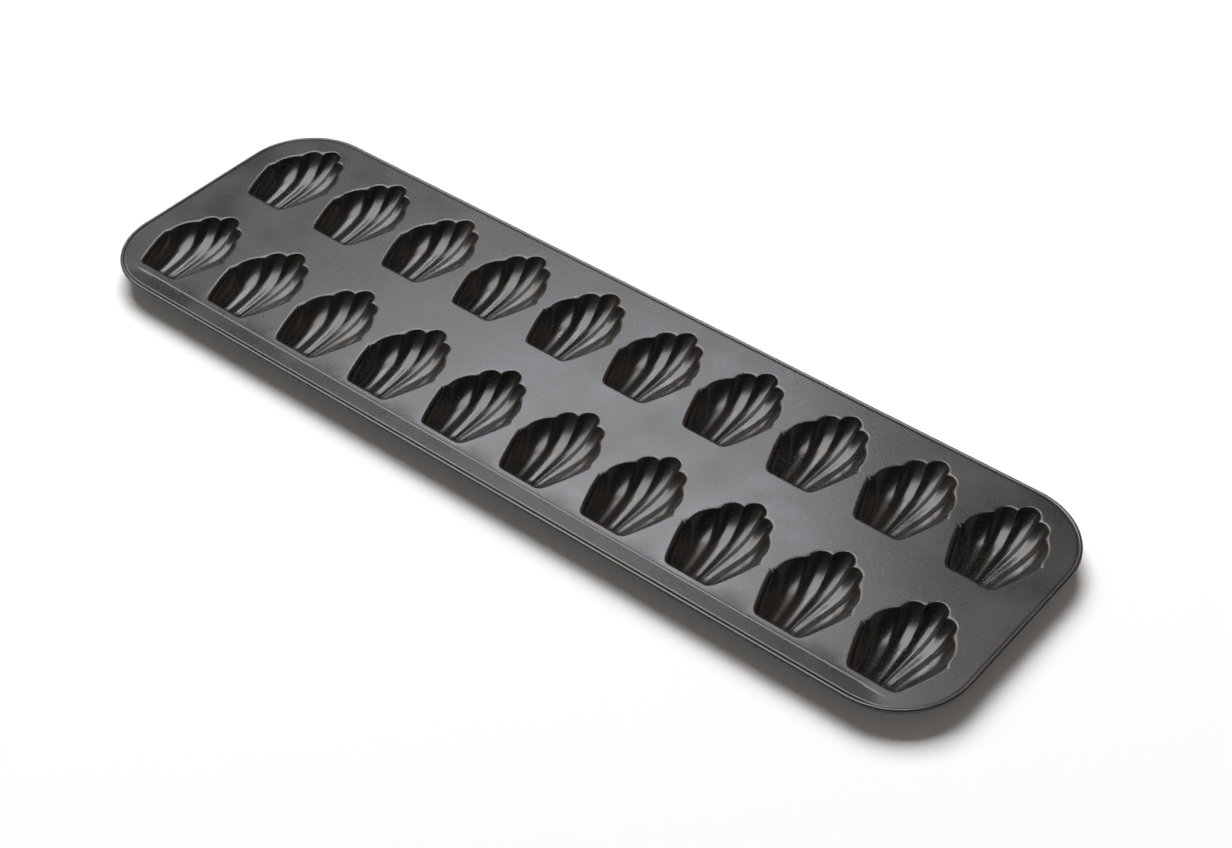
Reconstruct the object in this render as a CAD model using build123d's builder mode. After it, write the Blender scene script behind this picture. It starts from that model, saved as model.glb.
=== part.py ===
from build123d import *
import os

# A pan for small shell cakes: one pressed steel sheet with two rows of fluted cups,
# its edge curled round a steel wire. Millimetres. X runs along the long side, Y from
# the near long side to the far one, Z up. The origin lies under the middle of the pan,
# in the plane that the cups stand on.

# Sheet
pan_length = 395
pan_width = 122
corner_radius = 30
sheet_thickness = 0.4

# Rim: the wire, its room in the curl, the slit under the sheet where the curl ends,
# and how far the bead stands above the sheet
wire_diameter = 0.9
wire_clearance = 0.05
curl_slit = 0.3
bead_rise = 0.4

# Cup: a shell with a straight narrow end towards the near side
cup_length = 42.6
cup_half_breadth = 15.4
cup_end_half_breadth = 8.8
cup_depth = 9.6
flute_relief = 1.4

# Rows of cups, and the margin from the near edge to their narrow ends
cups_per_row = 10
cup_pitch = 37.9
row_pitch = 58.5
near_margin = 11.9

# Stiffening line pressed up along the near margin
line_length = 350
line_width = 1.0
line_rise = 0.25
line_gap = 3.4

# Two flutes part at a ridge. It starts on the straight narrow end and climbs to a notch
# of the scalloped edge. From the middle outwards, with the side edge as the last one:
root_breadth_shares = (0.04, 0.465, 0.85)
notch_breadth_shares = (0.27, 0.655, 0.975)
notch_length_shares = (0.906, 0.772, 0.52)
ridge_depth_shares = (1, 0.854, 0.6)
side_length_share = 0.47
# How far each lobe of the edge swells past its notches, from the middle outwards, and
# the corners of a flute's cross-section between its two ridges
lobe_bulge_shares = (0.088, 0.044, 0.04, 0.008)
corner_shares = ((0.22, 0.78), (0.22, 0.78), (0.22, 0.78), (0.5,))
# The floor is level between two of the cross-sections, and the cup stands on that flat
level_start_share = 0.26
level_end_share = 0.36
station_shares = (0, 0.09, level_start_share, level_end_share, 0.77, 1)
fan_power = 1.7
side_power = 1.9
end_wall_power = 2.6
floor_power = 3.4
relief_power = 0.5
lobe_power = 4


def depth_share(along):
    # steep at the narrow end, then a long easy rise to the scalloped edge
    if along < level_start_share:
        return 1 - (1 - along / level_start_share) ** end_wall_power
    past = max(along - level_end_share, 0)
    return 1 - (past / (1 - level_end_share)) ** floor_power


def ridge_point(ridge, along, wall):
    length = cup_length + 2 * wall
    half_breadth = cup_half_breadth + wall
    end_half_breadth = cup_end_half_breadth + wall
    if ridge == len(root_breadth_shares):
        widening = 1 - (1 - along) ** side_power
        x = end_half_breadth + (half_breadth - end_half_breadth) * widening
        return Vector(x, along * side_length_share * length - wall, 0)
    root = root_breadth_shares[ridge] * end_half_breadth
    notch = notch_breadth_shares[ridge] * half_breadth
    x = root + (notch - root) * along**fan_power
    y = along * notch_length_shares[ridge] * length - wall
    deepest = ridge_depth_shares[ridge] * (cup_depth - flute_relief + wall)
    return Vector(x, y, -deepest * depth_share(along))


def mirrored(point):
    return Vector(-point.X, point.Y, point.Z)


def flute_ends(flute, along, wall):
    # flute 0 is the middle one, between the first ridge and its mirror image
    right = ridge_point(flute, along, wall)
    left = ridge_point(flute - 1, along, wall) if flute else mirrored(right)
    return left, right


def flute_section(flute, side, along, wall):
    # a chain of straight facets from ridge to ridge, sunk below the line between them;
    # a flute keeps its relief nearly to its end, where its wall is steeper than the ridges
    left, right = flute_ends(flute, along, wall)
    notch_left, notch_right = flute_ends(flute, 1, wall)
    down = Vector(0, 1, 0).cross(right - left).normalized()
    outward = Vector(0, 0, 1).cross(notch_right - notch_left).normalized()
    sunk = down * flute_relief * depth_share(along) ** relief_power
    sunk += outward * lobe_bulge_shares[flute] * cup_length * along**lobe_power
    corners = [left + (right - left) * share + sunk for share in corner_shares[flute]]
    points = [left, *corners, right]
    if side < 0:
        points = [mirrored(point) for point in reversed(points)]
    return Wire.make_polygon(points, close=False)


def side_edge(side, wall):
    points = [ridge_point(len(root_breadth_shares), along, wall) for along in station_shares]
    if side < 0:
        points = [mirrored(point) for point in points]
    return [Edge.make_line(start, end) for start, end in zip(points, points[1:])]


def fluted_cup(wall=0):
    # the hollow of a cup or, with a wall, the whole cup, closed at the sheet's top
    flutes = [(0, 1)] + [(flute, side) for flute in (1, 2, 3) for side in (-1, 1)]
    faces = []
    outline = side_edge(-1, wall) + side_edge(1, wall)
    for flute, side in flutes:
        sections = [flute_section(flute, side, along, wall) for along in station_shares]
        for start, end in zip(sections, sections[1:]):
            for facet in Face.make_surface_from_curves(start, end).faces():
                # what is level is made a true plane, so that the pan has flats to stand on
                faces.append(Face(facet.outer_wire()) if facet.is_planar else facet)
        outline += sections[0].edges() + sections[-1].edges()
    faces.append(Face(Wire.combine(outline)[0]))
    return Solid(Shell(faces))


# Places that follow from the sizes above
sheet_top = cup_depth + sheet_thickness
curl_inner_radius = wire_diameter / 2 + wire_clearance
curl_radius = curl_inner_radius + sheet_thickness
curl_height = sheet_top + bead_rise - curl_radius
curl_middle_radius = curl_inner_radius + sheet_thickness / 2
wire_length = pan_length - 2 * curl_radius
wire_width = pan_width - 2 * curl_radius
near_row = near_margin - pan_width / 2
cup_places = [
    ((column - (cups_per_row - 1) / 2) * cup_pitch, near_row + row * row_pitch)
    for row in range(2)
    for column in range(cups_per_row)
]

# The path of the wire and of the curl round it, which starts on the near side
with BuildLine(Plane.XY.offset(curl_height)) as rim_path:
    with BuildSketch(mode=Mode.PRIVATE) as rim_outline:
        RectangleRounded(wire_length, wire_width, corner_radius - curl_radius)
    add(rim_outline.wire())
rim_start = Plane(origin=(0, -wire_width / 2, curl_height), x_dir=(0, 1, 0), z_dir=(1, 0, 0))

with BuildPart() as tray_sheet:
    with BuildSketch(Plane.XY.offset(sheet_top - sheet_thickness)):
        RectangleRounded(
            wire_length - 2 * curl_middle_radius,
            wire_width - 2 * curl_middle_radius,
            corner_radius - curl_radius - curl_middle_radius,
        )
    extrude(amount=sheet_thickness)
    with Locations(*[(x, y, sheet_top) for x, y in cup_places]):
        add(fluted_cup(sheet_thickness))
    with BuildSketch(rim_start):
        Circle(curl_radius)
        Circle(curl_inner_radius, mode=Mode.SUBTRACT)
        with Locations((curl_inner_radius / 2, curl_radius - bead_rise - sheet_thickness)):
            Rectangle(curl_radius, curl_slit, align=(Align.MIN, Align.MAX), mode=Mode.SUBTRACT)
    sweep(path=rim_path.wire())
    # the stiffening line stands up above the sheet and is hollow under it
    for height, mode in ((sheet_top, Mode.ADD), (sheet_top - sheet_thickness, Mode.SUBTRACT)):
        with BuildSketch(Plane.YZ.offset(-line_length / 2)):
            with BuildLine():
                start = (near_row - line_gap - line_width / 2, height)
                end = (near_row - line_gap + line_width / 2, height)
                SagittaArc(start, end, line_rise)
                Line(start, end)
            make_face()
        extrude(amount=line_length, mode=mode)
    with Locations(*[(x, y, sheet_top) for x, y in cup_places]):
        add(fluted_cup(), mode=Mode.SUBTRACT)

with BuildPart() as rim_wire:
    with BuildSketch(rim_start):
        Circle(wire_diameter / 2)
    sweep(path=rim_path.wire())

pieces = {"tray_sheet": tray_sheet, "rim_wire": rim_wire}
os.makedirs("parts", exist_ok=True)
for name, piece in pieces.items():
    piece.part.label = name
    export_step(piece.part, f"parts/{name}.step")
    print(name, len(piece.part.solids()), "solid,", round(piece.part.volume), "mm3")
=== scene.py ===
import math
from functools import partial

import bmesh
import bpy
from mathutils import Matrix, Vector


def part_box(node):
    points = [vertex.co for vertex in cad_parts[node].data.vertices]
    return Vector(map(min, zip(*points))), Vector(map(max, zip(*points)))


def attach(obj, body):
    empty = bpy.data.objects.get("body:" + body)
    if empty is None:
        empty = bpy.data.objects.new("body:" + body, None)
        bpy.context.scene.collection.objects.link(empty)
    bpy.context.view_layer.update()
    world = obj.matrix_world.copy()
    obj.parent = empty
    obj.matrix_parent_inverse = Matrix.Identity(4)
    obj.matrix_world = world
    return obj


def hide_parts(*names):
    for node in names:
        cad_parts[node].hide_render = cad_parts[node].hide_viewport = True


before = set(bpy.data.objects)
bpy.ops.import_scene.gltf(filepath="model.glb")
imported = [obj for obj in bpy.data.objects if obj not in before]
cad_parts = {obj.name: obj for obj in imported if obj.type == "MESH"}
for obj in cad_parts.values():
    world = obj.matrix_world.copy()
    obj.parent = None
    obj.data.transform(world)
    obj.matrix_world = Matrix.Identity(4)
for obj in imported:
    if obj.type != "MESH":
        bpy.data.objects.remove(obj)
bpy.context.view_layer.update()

mm = 0.001
sheetLow, sheetHigh = (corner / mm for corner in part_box("tray_sheet"))

# sizes in millimetres, the outer ones read from the CAD sheet
sheet = {
    "length": sheetHigh.x - sheetLow.x,
    "width": sheetHigh.y - sheetLow.y,
    "cornerRadius": 30,
    "thickness": 0.4,
    "beadRise": 0.4,  # how far the bead stands above the sheet
    "beadRadius": 0.9,
}
sheet["top"] = sheetHigh.z - sheet["beadRise"]
print("frame loaded, sheet", [round(sheet[key], 2) for key in ("length", "width", "top")])

# Along a cup, 0 is its straight narrow end and 1 its scalloped edge. Across it, flute 0 is
# the middle one, between its ridges at -0.5 and 0.5. Values go from the middle outwards.
cup = {
    "length": 42.6,
    "halfBreadth": 15.4,
    "endHalfBreadth": 8.8,
    # one value for each ridge, with the side edge as the last one
    "rootBreadthShares": (0.08, 0.47, 0.88, 1),  # at the narrow end
    "notchBreadthShares": (0.27, 0.655, 0.975, 1),  # at the scalloped edge
    "notchLengthShares": (0.906, 0.772, 0.52, 0.47),
    "ridgeDepthShares": (1, 0.87, 0.57, 0),
    "ridgeDepth": 8.93,
    # one value for each flute
    "fluteRelief": (0.6, 0.4, 0.8, 1),  # how far it sinks between its ridges
    "lobeSwell": (4.0, 1.8, 1.4, 0.3),  # how far its lobe stands out past its notches
    "segments": (9, 9, 8, 5),  # faces across it
    "rootRelief": 0.5,  # the share of the relief at the narrow end
    "fullReliefAt": 0.6,  # the place along the cup where it is whole
    "lobePower": 4,  # how late the lobes swell
    "levelStart": 0.23,  # the ridges and floors are level from here
    "levelEnd": 0.39,  # to here
    "fanPowers": (1.55, 2.15),  # how the ridges bend outwards: up to the second, and at the third
    "sidePower": 1.5,
    "sideTurn": 0.6,  # the share of the outermost flute where its side wall begins
    "endWallPower": 2.7,  # how early the wall at the narrow end goes down
    "ridgePowers": (3.6, 4.5),  # how late the ridges rise towards their notches
    "flutePower": 4.2,  # and a flute's floor towards its lobe
    "crispness": 0.08,  # 0 for a wave, 0.11 for straight flanks
    "rows": 22,  # faces along the cup
    "rowCrowding": 0.45,  # how much they crowd towards both ends
    "shoulderRadius": 1.2,
    "shoulderRings": 5,
    "collar": 0.35,  # a flat ring round the shoulder
}
lastFlute = len(cup["segments"]) - 1
sideEdge = lastFlute + 0.5


def blend(a, b, share):
    return a + (b - a) * share


def easeInOut(x):
    x = min(max(x, 0), 1)
    return x * x * (3 - 2 * x)


def acrossRidges(shares, across, mirror):
    # a smooth line through the ridges' values, which lie half a flute from the middle and then one apart
    values = [mirror * share for share in reversed(shares)] + list(shares)
    place = across + len(shares) - 0.5
    i = min(max(int(place), 0), len(values) - 2)
    past = place - i
    start, end = values[i], values[i + 1]
    before = values[i - 1] if i else 2 * values[0] - values[1]
    after = values[i + 2] if i + 2 < len(values) else 2 * values[-1] - values[-2]
    bend = 2 * before - 5 * start + 4 * end - after
    twist = 3 * (start - end) + after - before
    return start + past * (end - before + past * (bend + past * twist)) / 2


def depthShare(along, power):
    if along < cup["levelStart"]:
        return 1 - (1 - along / cup["levelStart"]) ** cup["endWallPower"]
    past = max(along - cup["levelEnd"], 0) / (1 - cup["levelEnd"])
    return 1 - past ** power


def cupBase(across, along, toFloor):
    # the surface that the ridges lie on, or with toFloor 1 the one that the flutes' floors follow
    outer = min(max(abs(across) - (sideEdge - 2), 0), 1)
    toEdge = max(abs(across) - (sideEdge - 1), 0)
    fan = along ** blend(*cup["fanPowers"], outer)
    edge = 1 - (1 - along) ** cup["sidePower"]
    root = acrossRidges(cup["rootBreadthShares"], across, -1) * cup["endHalfBreadth"]
    notch = acrossRidges(cup["notchBreadthShares"], across, -1) * cup["halfBreadth"]
    x = root + (notch - root) * blend(fan, edge, toEdge)
    y = acrossRidges(cup["notchLengthShares"], across, 1) * cup["length"] * along
    power = blend(blend(*cup["ridgePowers"], outer), cup["flutePower"], toFloor)
    z = -acrossRidges(cup["ridgeDepthShares"], across, 1) * cup["ridgeDepth"] * depthShare(along, power)
    return Vector((x, y, z))


def fluteSag(share, isOuter):
    # 0 on the ridges and 1 on the flute's floor
    if isOuter:
        # the outermost flute goes up its side wall to the edge without another ridge
        turn = cup["sideTurn"]
        if share >= turn:
            return math.cos(math.pi / 2 * (share - turn) / (1 - turn))
        share = share / turn / 2
    wave = math.cos(2 * math.pi * share) + cup["crispness"] * math.cos(6 * math.pi * share)
    return (1 - wave / (1 + cup["crispness"])) / 2


def lobeArc(share, swell, halfChord):
    # a circular arc over the chord between two notches: its place on the chord and its height
    half = 2 * math.atan2(swell, halfChord)
    angle = (2 * share - 1) * half
    along = (1 + math.sin(angle) / math.sin(half)) / 2
    return along, swell * (math.cos(angle) - math.cos(half)) / (1 - math.cos(half))


def cupPoint(flute, share, along):
    # a point of the cup's inside, with z 0 at the sheet's top and y 0 at the straight narrow end
    side = -1 if flute < 0 else 1
    number = abs(flute)
    if flute < 0:
        share = 1 - share
    notches = [cupBase(number + end, 1, 0) for end in (-0.5, 0.5)]
    chord = notches[1] - notches[0]
    arcShare, swell = lobeArc(share, cup["lobeSwell"][number], chord.length / 2)
    across = number - 0.5 + blend(share, arcShare, along ** cup["lobePower"])
    sag = fluteSag(share, number == lastFlute)
    step = 0.01
    here = cupBase(across, along, sag)
    slant = cupBase(min(across + step, sideEdge), along, sag) - cupBase(across - step, along, sag)
    down = Vector((slant.z, 0, -slant.x)).normalized()
    whole = min(along / cup["fullReliefAt"], 1)
    relief = cup["fluteRelief"][number] * blend(cup["rootRelief"], 1, whole)
    here += down * sag * relief * depthShare(along, cup["flutePower"])
    outward = Vector((-chord.y, chord.x, 0)).normalized()
    here += outward * swell * along ** cup["lobePower"]
    return Vector((side * here.x, here.y, here.z))


def smoothLoop(loop, passes):
    pull = 0.5  # towards the middle between a point's neighbours
    for _ in range(passes):
        loop = [
            point * (1 - pull) + (loop[i - 1] + loop[(i + 1) % len(loop)]) * pull / 2
            for i, point in enumerate(loop)
        ]
    return loop


def makeCup():
    columns = []
    for flute in range(-lastFlute, lastFlute + 1):
        count = cup["segments"][abs(flute)]
        columns += [(flute, i / count) for i in range(count)]
    columns.append((lastFlute, 1))
    last = cup["rows"]
    alongs = [blend(i / last, easeInOut(i / last), cup["rowCrowding"]) for i in range(last + 1)]
    grid = [[cupPoint(flute, share, along) for flute, share in columns] for along in alongs]
    wide = len(columns)

    # round the edge: near side, then right, far and left
    around = [(0, j) for j in range(wide - 1)] + [(i, wide - 1) for i in range(last)]
    around += [(last, j) for j in range(wide - 1, 0, -1)] + [(i, 0) for i in range(last, 0, -1)]
    lip = [grid[i][j] for i, j in around]
    steeps = []  # the way down the wall at each point of the lip
    for i, j in around:
        inner = grid[min(max(i, 1), last - 1)][min(max(j, 1), wide - 2)]
        steeps.append((inner - grid[i][j]).normalized())
    sides = []
    for k in range(len(lip)):
        run = lip[(k + 1) % len(lip)] - lip[k - 1]
        sides.append(Vector((run.y, -run.x, 0)).normalized())
    outward = [side.normalized() for side in smoothLoop(sides, 2)]

    # the shoulder curves from the wall over the lip to the sheet
    reach = [
        cup["shoulderRadius"] * math.tan((-side).angle(steep) / 2)
        for side, steep in zip(outward, steeps)
    ]
    onSheet = smoothLoop([point + side * far for point, side, far in zip(lip, outward, reach)], 2)
    collar = smoothLoop([point + side * cup["collar"] for point, side in zip(onSheet, outward)], 1)
    corner = smoothLoop(lip, 1)
    onWall = [point + steep * far for point, steep, far in zip(lip, steeps, reach)]
    for (i, j), point in zip(around, onWall):
        grid[i][j] = point
    rings = []
    for k in range(1, cup["shoulderRings"] + 1):
        left = 1 - k / cup["shoulderRings"]
        rings.append(
            [
                end * (1 - left) ** 2 + middle * 2 * left * (1 - left) + start * left * left
                for end, middle, start in zip(onSheet, corner, onWall)
            ]
        )
    rings.append(collar)

    points = [point for line in grid for point in line]
    faces = [
        (i * wide + j, i * wide + j + 1, (i + 1) * wide + j + 1, (i + 1) * wide + j)
        for i in range(last)
        for j in range(wide - 1)
    ]
    before = [i * wide + j for i, j in around]
    for ring in rings:
        now = list(range(len(points), len(points) + len(ring)))
        points += ring
        for k in range(len(ring)):
            after = (k + 1) % len(ring)
            faces.append((before[after], before[k], now[k], now[after]))
        before = now
    mesh = bpy.data.meshes.new("cup")
    mesh.from_pydata([point * mm for point in points], [], faces)
    print("cup", len(points), "points")
    return bpy.data.objects.new("cup", mesh)


margin = {
    "nearReach": 8.7,  # how far in from the pan's edge this piece goes on the near side
    "reach": 6.2,  # and on the others
    "nearStep": 0.2,  # the near strip starts a little lower
    "nearStepWidth": 0.2,
    "nearSlope": 0.1,  # and climbs towards the rim
    "bend": 0.25,  # from a bend to the line of points that holds it
    "fallWidth": 0.7,  # where the sheet curves down to the bead
    "fallShares": (1, 0.78, 0.56, 0.36, 0.18, 0.06),
    "beadFrom": 151,  # degrees round the bead, 90 on top
    "beadTo": -150,
    "beadSteps": 14,
    "spacing": 8,
    "cornerSteps": 20,
}


def edgeWalk():
    # points round the pan's outer edge with the way inwards, anticlockwise from the near right corner
    radius = sheet["cornerRadius"]
    halfX, halfY = sheet["length"] / 2 - radius, sheet["width"] / 2 - radius
    corners = ((halfX, -halfY, -90), (halfX, halfY, 0), (-halfX, halfY, 90), (-halfX, -halfY, 180))
    walk = []
    for k, (x, y, turn) in enumerate(corners):
        for step in range(margin["cornerSteps"] + 1):
            angle = math.radians(turn + 90 * step / margin["cornerSteps"])
            out = Vector((math.cos(angle), math.sin(angle), 0))
            walk.append((Vector((x, y, 0)) + out * radius, -out))
        nextX, nextY, _ = corners[(k + 1) % len(corners)]
        gap = Vector((nextX - x, nextY - y, 0))
        count = round(gap.length / margin["spacing"])
        walk += [(walk[-1][0] + gap * (step / count), walk[-1][1]) for step in range(1, count)]
    return walk


def marginReach(inward):
    # the near strip's inner edge runs straight on where the rim starts to turn
    fromTurn = sheet["cornerRadius"] - margin["nearReach"]
    facing = max(inward.y, 0.5)  # below that, the plain reach is longer anyway
    return max(sheet["cornerRadius"] - fromTurn / facing, margin["reach"])


def nearDrop(near, fromStep):
    return near * (margin["nearStep"] - margin["nearSlope"] * fromStep)


def makeMargin():
    # the strip inside the rim, its fall to the bead, and the bead rolled round the wire
    top = sheet["top"]
    radius = sheet["beadRadius"]
    middle = top + sheet["beadRise"] - radius
    angles = [
        math.radians(blend(margin["beadFrom"], margin["beadTo"], k / margin["beadSteps"]))
        for k in range(margin["beadSteps"] + 1)
    ]
    bead = [(radius - radius * math.cos(angle), middle + radius * math.sin(angle)) for angle in angles]
    foot, footHeight = bead[0]
    points, rings = [], []
    for place, inward in edgeWalk():
        reach = marginReach(inward)
        near = easeInOut((reach - margin["reach"]) / (margin["nearReach"] - margin["reach"]))
        edge = reach - margin["bend"]
        strip = edge - margin["nearStepWidth"]
        section = [(reach, top), (edge, top), (strip, top - near * margin["nearStep"])]
        for far in (strip - margin["bend"], foot + margin["fallWidth"] + margin["bend"]):
            section.append((far, top - nearDrop(near, strip - far)))
        for share in margin["fallShares"]:
            far = foot + margin["fallWidth"] * share
            drop = nearDrop(near, strip - far)
            dip = (top - drop - footHeight) * (1 - share) ** 2
            section.append((far, top - drop - dip))
        section += bead
        rings.append(range(len(points), len(points) + len(section)))
        points += [place + inward * far + Vector((0, 0, height)) for far, height in section]
    faces = []
    for k, ring in enumerate(rings):
        after = rings[(k + 1) % len(rings)]
        faces += [(ring[i], ring[i + 1], after[i + 1], after[i]) for i in range(len(ring) - 1)]
    return points, faces


pressedLine = {
    "y": -51.95,
    "start": -178,  # along X
    "end": 173,
    "halfWidth": 0.25,
    "endHalfWidth": 0.12,
    "rise": 0.13,
    "footShare": 1.2,  # above 1, it lies flat again before its edges
    "taper": 6,
    "taperShares": (0, 0.1, 0.25, 0.5),
    "steps": 6,
    "spacing": 6,
}


def makeLine(first):
    # the thin stiffening line pressed up along the near side
    length = pressedLine["end"] - pressedLine["start"]
    count = round(length / pressedLine["spacing"])
    stations = [length * k / count for k in range(1, count)]
    ends = [pressedLine["taper"] * share for share in pressedLine["taperShares"]]
    stations = sorted(ends + stations + [length - end for end in ends])
    steps = pressedLine["steps"]
    points, faces = [], []
    for station in stations:
        fade = easeInOut(min(station, length - station) / pressedLine["taper"])
        half = blend(pressedLine["endHalfWidth"], pressedLine["halfWidth"], math.sqrt(fade))
        for k in range(steps + 1):
            share = 2 * k / steps - 1
            fall = min(abs(share) * pressedLine["footShare"], 1)
            rise = pressedLine["rise"] * fade * (1 + math.cos(math.pi * fall)) / 2
            x, y = pressedLine["start"] + station, pressedLine["y"] + share * half
            points.append(Vector((x, y, sheet["top"] + rise)))
    for i in range(len(stations) - 1):
        for k in range(steps):
            corner = first + i * (steps + 1) + k
            faces.append((corner, corner + steps + 1, corner + steps + 2, corner + 1))
    return points, faces


def makeSurround():
    points, faces = makeMargin()
    linePoints, lineFaces = makeLine(len(points))
    mesh = bpy.data.meshes.new("surround")
    mesh.from_pydata([point * mm for point in points + linePoints], [], faces + lineFaces)
    print("surround", len(points), "and", len(linePoints), "points")
    return bpy.data.objects.new("surround", mesh)


def feed(tree, socket, value):
    # the value is a plain one or another node's output
    if isinstance(value, bpy.types.NodeSocket):
        tree.links.new(value, socket)
    else:
        socket.default_value = value


def setInputs(tree, node, **inputs):
    # an input's name is written with _ for a space
    for name, value in inputs.items():
        feed(tree, node.inputs[name.replace("_", " ")], value)
    return node


def addNode(tree, kind, **inputs):
    return setInputs(tree, tree.nodes.new(kind), **inputs)


def addMaths(tree, operation, first, second):
    made = tree.nodes.new("ShaderNodeMath")
    made.operation = operation
    for socket, value in zip(made.inputs, (first, second)):
        feed(tree, socket, value)
    return made.outputs[0]


assembly = {
    "columns": 10,
    "rows": 2,
    "columnPitch": 37.9,
    "rowPitch": 58.5,
    "nearMargin": 11.9,  # from the pan's edge to the near row's narrow ends
    "mergeDistance": 0.02,
    "weldDistance": 0.01,
    "sharpAngle": 50,  # degrees
}


def panTree():
    # sets the cups out in their rows and fills the flat sheet between them and the surround
    tree = bpy.data.node_groups.new("pressedPan", "GeometryNodeTree")
    face = tree.interface
    face.new_socket("Geometry", in_out="INPUT", socket_type="NodeSocketGeometry")
    for name, kind in (
        ("Surround", "NodeSocketObject"),
        ("Columns", "NodeSocketInt"),
        ("Rows", "NodeSocketInt"),
        ("Column Pitch", "NodeSocketFloat"),
        ("Row Pitch", "NodeSocketFloat"),
        ("Rows Middle", "NodeSocketFloat"),
        ("Sheet Top", "NodeSocketFloat"),
        ("Merge Distance", "NodeSocketFloat"),
        ("Coating", "NodeSocketMaterial"),
    ):
        face.new_socket(name, in_out="INPUT", socket_type=kind)
    face.new_socket("Geometry", in_out="OUTPUT", socket_type="NodeSocketGeometry")
    node, maths = partial(addNode, tree), partial(addMaths, tree)

    given = node("NodeGroupInput").outputs
    grid = node(
        "GeometryNodeMeshGrid",
        Size_X=maths("MULTIPLY", maths("SUBTRACT", given["Columns"], 1), given["Column Pitch"]),
        Size_Y=maths("MULTIPLY", maths("SUBTRACT", given["Rows"], 1), given["Row Pitch"]),
        Vertices_X=given["Columns"],
        Vertices_Y=given["Rows"],
    )
    place = node("ShaderNodeCombineXYZ", Y=given["Rows Middle"], Z=given["Sheet Top"])
    shifted = node("GeometryNodeTransform", Geometry=grid.outputs["Mesh"], Translation=place.outputs[0])
    spread = node("GeometryNodeInstanceOnPoints", Points=shifted.outputs[0], Instance=given["Geometry"])
    cups = node("GeometryNodeRealizeInstances", Geometry=spread.outputs[0])
    rim = node("GeometryNodeObjectInfo", Object=given["Surround"])
    joined = node("GeometryNodeJoinGeometry", Geometry=cups.outputs[0])
    feed(tree, joined.inputs[0], rim.outputs["Geometry"])

    # open edges at the sheet's height bound the flat part
    neighbours = node("GeometryNodeInputMeshEdgeNeighbors").outputs[0]
    isOpen = maths("LESS_THAN", neighbours, 1.5)  # one face, not two
    position = node("GeometryNodeInputPosition").outputs[0]
    height = node("ShaderNodeSeparateXYZ", Vector=position).outputs["Z"]
    reach = given["Merge Distance"]
    justBelow = maths("SUBTRACT", given["Sheet Top"], reach)
    isFlat = maths("GREATER_THAN", height, justBelow)
    bounding = maths("MULTIPLY", isOpen, isFlat)
    loops = node("GeometryNodeMeshToCurve", Mesh=joined.outputs[0], Selection=bounding)
    fill = node("GeometryNodeFillCurve", Curve=loops.outputs[0])
    lift = node("ShaderNodeCombineXYZ", Z=given["Sheet Top"])
    level = node("GeometryNodeTransform", Geometry=fill.outputs[0], Translation=lift.outputs[0])
    whole = node("GeometryNodeJoinGeometry", Geometry=joined.outputs[0])
    feed(tree, whole.inputs[0], level.outputs[0])
    merged = node("GeometryNodeMergeByDistance", Geometry=whole.outputs[0], Distance=reach)
    coated = node("GeometryNodeSetMaterial", Geometry=merged.outputs[0], Material=given["Coating"])
    node("NodeGroupOutput", Geometry=coated.outputs[0])
    return tree


def meshOf(thing, name):
    # the evaluated mesh as a plain object
    graph = bpy.context.evaluated_depsgraph_get()
    mesh = bpy.data.meshes.new_from_object(thing.evaluated_get(graph), depsgraph=graph)
    made = bpy.data.objects.new(name, mesh)
    bpy.context.scene.collection.objects.link(made)
    bpy.data.objects.remove(thing)
    return made


def makePan(coating):
    collection = bpy.context.scene.collection
    oneCup, surround = makeCup(), makeSurround()
    for thing in (oneCup, surround):
        collection.objects.link(thing)
    tree = panTree()
    setOut = oneCup.modifiers.new("rows", "NODES")
    setOut.node_group = tree
    rowsMiddle = assembly["nearMargin"] + assembly["rowPitch"] / 2 - sheet["width"] / 2
    given = {
        "Surround": surround,
        "Columns": assembly["columns"],
        "Rows": assembly["rows"],
        "Column Pitch": assembly["columnPitch"] * mm,
        "Row Pitch": assembly["rowPitch"] * mm,
        "Rows Middle": rowsMiddle * mm,
        "Sheet Top": sheet["top"] * mm,
        "Merge Distance": assembly["mergeDistance"] * mm,
        "Coating": coating,
    }
    for item in tree.interface.items_tree:
        if item.name in given:
            setOut[item.identifier] = given[item.name]
    pressed = meshOf(oneCup, "pressed")
    bpy.data.objects.remove(surround)

    work = bmesh.new()
    work.from_mesh(pressed.data)
    bmesh.ops.remove_doubles(work, verts=work.verts, dist=assembly["weldDistance"] * mm)
    bmesh.ops.recalc_face_normals(work, faces=work.faces)
    widest = max(work.faces, key=lambda face: face.calc_area())
    if widest.normal.z < 0:
        bmesh.ops.reverse_faces(work, faces=work.faces)  # now the flat sheet faces up
    print("open edges", sum(edge.is_boundary for edge in work.edges))
    work.to_mesh(pressed.data)
    work.free()

    wall = pressed.modifiers.new("wall", "SOLIDIFY")
    wall.thickness = sheet["thickness"] * mm
    wall.offset = -1
    pan = meshOf(pressed, "shell_tray")
    pan.data.shade_smooth()
    pan.data.set_sharp_from_angle(angle=math.radians(assembly["sharpAngle"]))
    pan.data.calc_loop_triangles()
    print("pan", len(pan.data.loop_triangles), "triangles")
    return pan


def startMaterial(name):
    material = bpy.data.materials.new(name)
    material.use_nodes = True
    tree = material.node_tree
    return material, tree, tree.nodes["Principled BSDF"]


def addNoise(tree, where, scale, detail):
    return addNode(tree, "ShaderNodeTexNoise", Vector=where, Scale=scale, Detail=detail).outputs[0]


def addRemap(tree, value, span, results):
    made = addNode(tree, "ShaderNodeMapRange", Value=value, From_Min=span[0], From_Max=span[1])
    return setInputs(tree, made, To_Min=results[0], To_Max=results[1]).outputs[0]


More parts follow.
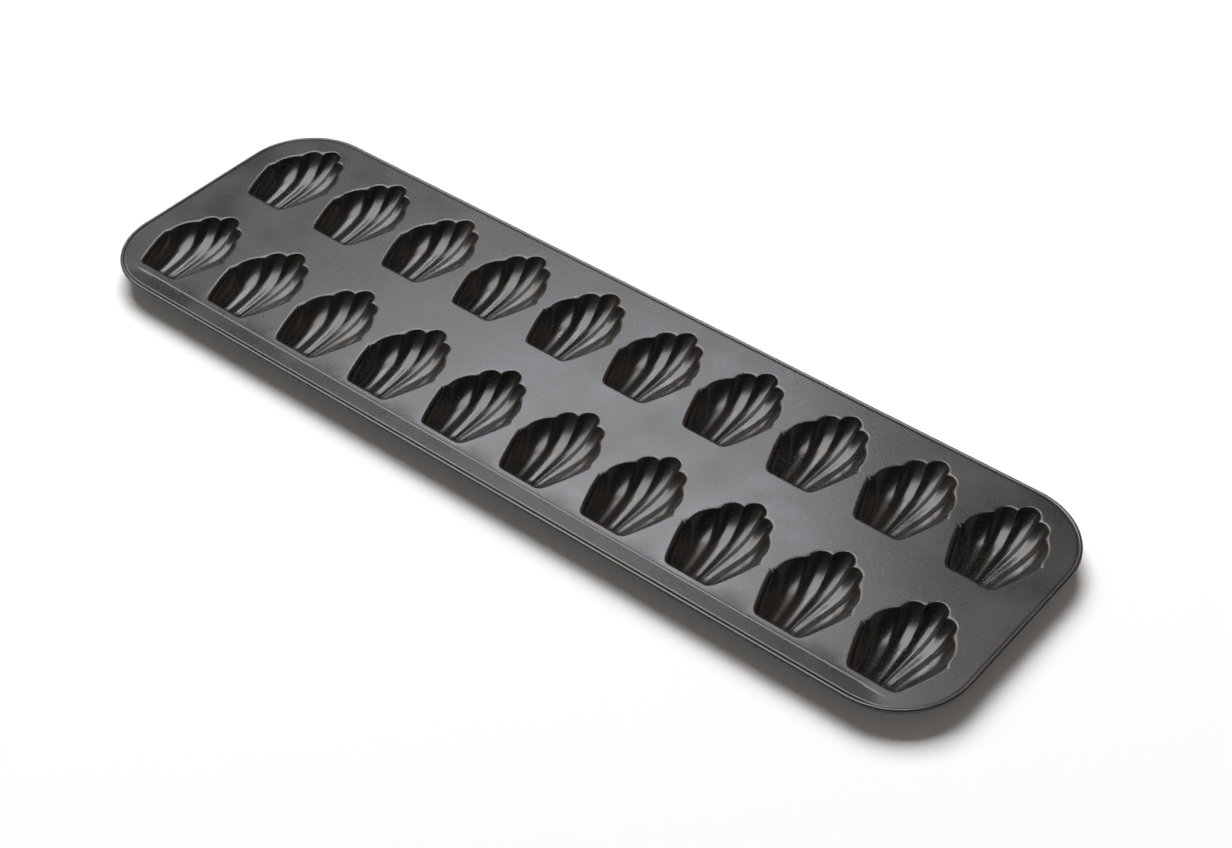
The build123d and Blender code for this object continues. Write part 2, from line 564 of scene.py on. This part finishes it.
def addTint(tree, share, first, second):
    made = tree.nodes.new("ShaderNodeMix")
    made.data_type = "RGBA"
    return setInputs(tree, made, Factor=share, A=first, B=second).outputs["Result"]


def addBump(tree, height, strength, distance):
    return addNode(tree, "ShaderNodeBump", Strength=strength, Distance=distance * mm, Height=height)


coat = {
    "colour": (0.01, 0.008, 0.0065, 1),
    "stain": (0.018, 0.0125, 0.009, 1),
    "fleck": (0.05, 0.042, 0.034, 1),
    "roughness": (0.24, 0.33),
    "specular": 0.5,
    "indexOfRefraction": 1.66,
    # noises by scale and detail
    "grain": (1200, 2),
    "cloud": (45, 4),
    "swell": (14, 1),
    # the stretch of a noise over which its effect comes in
    "stainSpan": (0.4, 0.65),
    "fleckSpan": (0.55, 0.72),
    "roughnessSpan": (0.3, 0.7),
    # bumps by strength and height in millimetres
    "grainBump": (0.1, 0.12),
    "swellBump": (0.2, 1),
}


def coatedSteel():
    material, tree, shader = startMaterial("coatedSteel")
    where = addNode(tree, "ShaderNodeTexCoord").outputs["Object"]
    grain, cloud, swell = (addNoise(tree, where, *coat[name]) for name in ("grain", "cloud", "swell"))
    stains = addRemap(tree, cloud, coat["stainSpan"], (0, 1))
    flecks = addRemap(tree, grain, coat["fleckSpan"], (0, 1))
    stained = addTint(tree, stains, coat["colour"], coat["stain"])
    wide = addBump(tree, swell, *coat["swellBump"])
    fine = addBump(tree, grain, *coat["grainBump"])
    feed(tree, fine.inputs["Normal"], wide.outputs[0])
    setInputs(
        tree,
        shader,
        Base_Color=addTint(tree, flecks, stained, coat["fleck"]),
        Roughness=addRemap(tree, cloud, coat["roughnessSpan"], coat["roughness"]),
        Specular_IOR_Level=coat["specular"],
        IOR=coat["indexOfRefraction"],
        Normal=fine.outputs[0],
    )
    return material


wireSteel = {
    "dark": (0.34, 0.34, 0.35, 1),
    "bright": (0.48, 0.48, 0.49, 1),
    "roughness": (0.3, 0.42),
    "grain": (900, 2),
}


def bareWire():
    material, tree, shader = startMaterial("bareWire")
    where = addNode(tree, "ShaderNodeTexCoord").outputs["Object"]
    grain = addNoise(tree, where, *wireSteel["grain"])
    colour = addTint(tree, grain, wireSteel["dark"], wireSteel["bright"])
    roughness = addRemap(tree, grain, (0, 1), wireSteel["roughness"])
    setInputs(tree, shader, Base_Color=colour, Roughness=roughness, Metallic=1)
    return material


coating = coatedSteel()
pan = makePan(coating)
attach(pan, "root")
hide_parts("tray_sheet")
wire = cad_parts["rim_wire"]
wire.data.materials.clear()
wire.data.materials.append(bareWire())

light = {
    # the key gives the level and the shadow; the softboxes are what the gloss shows
    "key": {
        "way": Vector((-0.44, 0.38, 0.82)),
        "distance": 4,
        "size": (2.7, 2.7),
        "power": 210,
        "colour": (1, 1, 1),
    },
    "smallBox": {
        "way": Vector((-0.442, 0.499, 0.745)),
        "distance": 3,
        "size": (0.9, 0.9),
        "power": 16,
        "colour": (0.95, 1, 1.06),
    },
    "largeBox": {
        "way": Vector((-0.36, -0.02, 0.93)),
        "distance": 2,
        "size": (1.7, 3),
        "power": 68,
        "colour": (1.01, 1, 0.98),
    },
}


def makeLamps():
    for name, box in light.items():
        lamp = bpy.data.lights.new(name, "AREA")
        lamp.shape = "RECTANGLE"
        lamp.size, lamp.size_y = box["size"]
        lamp.energy = box["power"]
        lamp.color = box["colour"]
        holder = bpy.data.objects.new(name, lamp)
        holder.location = box["way"].normalized() * box["distance"]
        holder.rotation_euler = box["way"].to_track_quat("Z", "Y").to_euler()
        holder.visible_glossy = name != "key"
        holder.visible_diffuse = name == "key"
        bpy.context.scene.collection.objects.link(holder)
    print(len(light), "lamps")


sky = {
    "dome": 0.1,
    "domeColour": (1, 0.86, 0.74, 1),
    "white": (1, 1, 1, 1),
    "ceiling": 0.04,  # what is reflected from above, next to 1 at the horizon
    "horizonHeight": 0.15,
}


def makeWorld():
    world = bpy.data.worlds.new("white")
    world.use_nodes = True
    bpy.context.scene.world = world
    tree = world.node_tree

    def shine(colour, strength):
        return addNode(tree, "ShaderNodeBackground", Color=colour, Strength=strength).outputs[0]

    def pick(share, first, second):
        made = tree.nodes.new("ShaderNodeMixShader")
        for socket, value in zip(made.inputs, (share, first, second)):
            feed(tree, socket, value)
        return made.outputs[0]

    # white round the horizon, dark overhead
    way = addNode(tree, "ShaderNodeTexCoord").outputs["Generated"]
    up = addNode(tree, "ShaderNodeSeparateXYZ", Vector=way).outputs["Z"]
    fade = addNode(tree, "ShaderNodeMapRange", Value=up, From_Max=sky["horizonHeight"])
    setInputs(tree, fade, To_Min=1, To_Max=sky["ceiling"])
    fade.interpolation_type = "SMOOTHSTEP"

    path = addNode(tree, "ShaderNodeLightPath").outputs
    isMirrored = addMaths(tree, "MAXIMUM", path["Is Glossy Ray"], path["Is Transmission Ray"])
    mirrored = shine(sky["white"], fade.outputs[0])
    lit = pick(isMirrored, shine(sky["domeColour"], sky["dome"]), mirrored)
    seen = pick(path["Is Camera Ray"], lit, shine(sky["white"], 1))
    feed(tree, tree.nodes["World Output"].inputs["Surface"], seen)
    tree.nodes.remove(tree.nodes["Background"])
    print("world")


ground = {
    "colour": (0.97, 0.97, 0.97, 1),
    "roughness": 0.9,
    "glow": 0.05,
    "glowColour": (1, 1, 1, 1),
    "half": 3,  # metres
    "gap": 0.01,  # millimetres
}


def makeFloor():
    half = ground["half"]
    height = (sheetLow.z - ground["gap"]) * mm
    corners = [(x * half, y * half, height) for x, y in ((-1, -1), (1, -1), (1, 1), (-1, 1))]
    mesh = bpy.data.meshes.new("floor")
    mesh.from_pydata(corners, [], [(0, 1, 2, 3)])
    floor = bpy.data.objects.new("floor", mesh)
    bpy.context.scene.collection.objects.link(floor)
    material, tree, shader = startMaterial("palePaper")
    path = addNode(tree, "ShaderNodeLightPath").outputs
    setInputs(
        tree,
        shader,
        Base_Color=ground["colour"],
        Roughness=ground["roughness"],
        Specular_IOR_Level=0,
        Emission_Color=ground["glowColour"],
        Emission_Strength=addMaths(tree, "MULTIPLY", path["Is Camera Ray"], ground["glow"]),
    )
    mesh.materials.append(material)
    print("floor at", round(height / mm, 2), "mm")


camera = {
    "position": Vector((0.41713, -0.47713, 0.56444)),
    "forward": Vector((-0.47059, 0.57155, -0.67222)),
    "roll": -0.433,  # degrees
    "lens": 66.04,
    "sensor": 36,
    "shift": (-0.0011, 0.0009),  # in shares of the picture's width
    "clipStart": 0.01,
}


def makeCamera():
    eye = bpy.data.cameras.new("camera")
    eye.lens = camera["lens"]
    eye.sensor_width = camera["sensor"]
    eye.shift_x, eye.shift_y = camera["shift"]
    eye.clip_start = camera["clipStart"]
    holder = bpy.data.objects.new("camera", eye)
    turn = camera["forward"].to_track_quat("-Z", "Y").to_matrix().to_4x4()
    turn = turn @ Matrix.Rotation(math.radians(camera["roll"]), 4, "Z")
    holder.matrix_world = Matrix.Translation(camera["position"]) @ turn
    bpy.context.scene.collection.objects.link(holder)
    bpy.context.scene.camera = holder


makeLamps()
makeWorld()
makeFloor()
makeCamera()
bpy.context.scene.view_settings.view_transform = "Standard"
